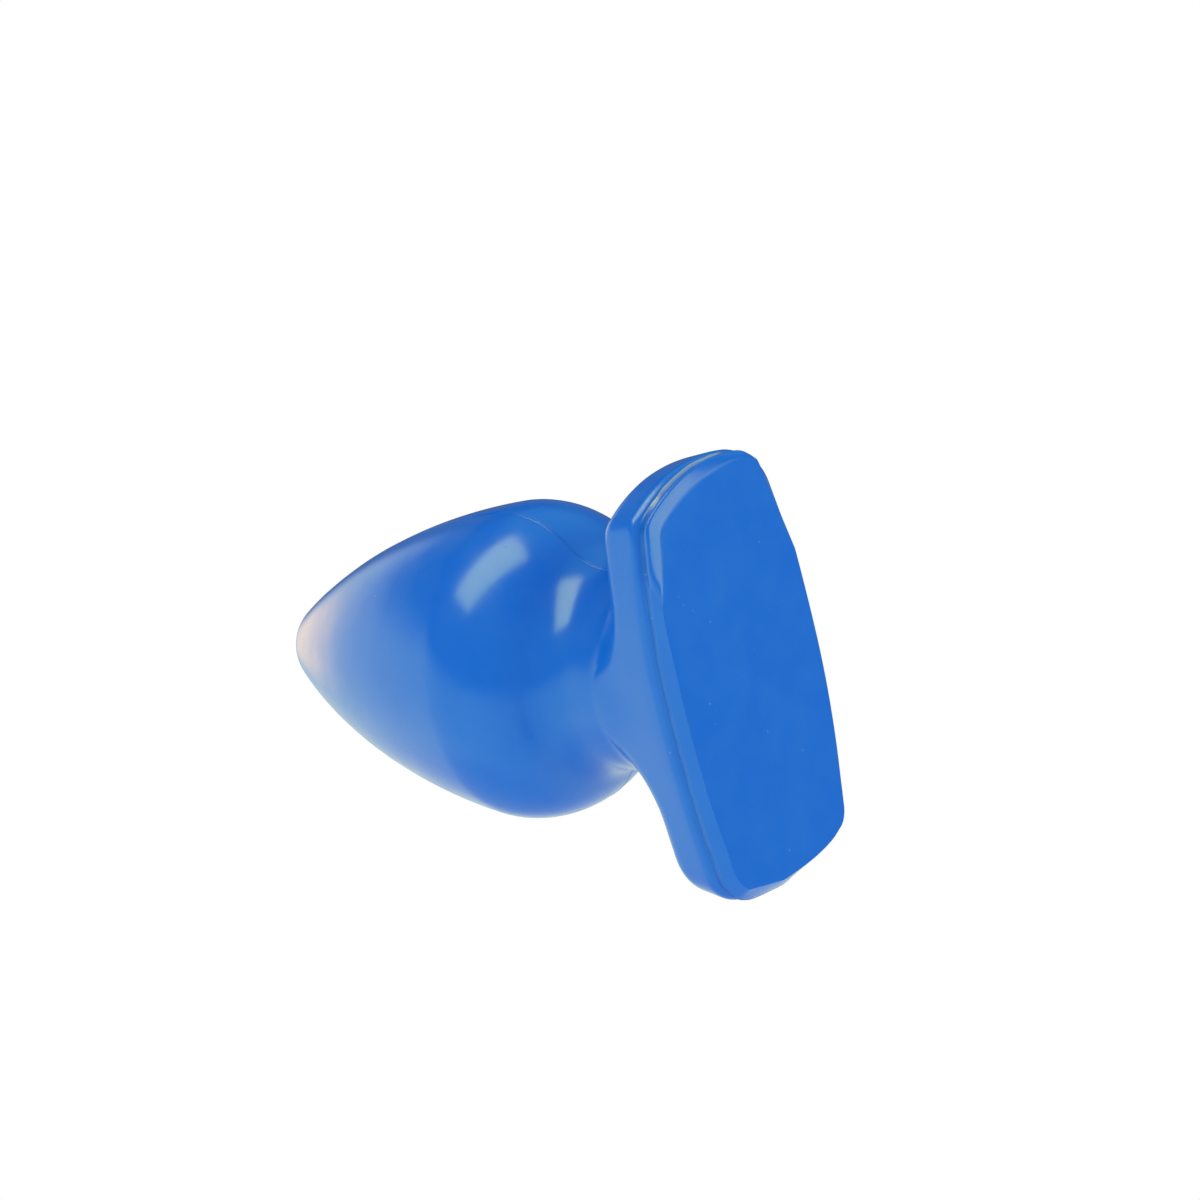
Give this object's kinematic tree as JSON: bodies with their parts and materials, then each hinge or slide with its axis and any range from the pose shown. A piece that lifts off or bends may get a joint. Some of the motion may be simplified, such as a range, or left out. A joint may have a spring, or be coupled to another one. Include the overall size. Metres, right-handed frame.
{
  "type": "flared base plug",
  "caption": "Glossy soft-vinyl flared-base plug: egg-shaped bulb on a short round neck, on a thick bevelled base plate. Adult product.",
  "frame": {"origin": "centre of the flat back face of the base, which the plug stands on", "axes": "+Z along the axis from the base to the tip, X along the base's long direction, Y across it"},
  "size_m": [0.0894, 0.065, 0.122],
  "materials": {
    "vinyl": "glossy soft PVC, saturated blue, lightly marked by moulding"
  },
  "bodies": {
    "root": {"plug_body": "vinyl"}
  },
  "joints": []
}
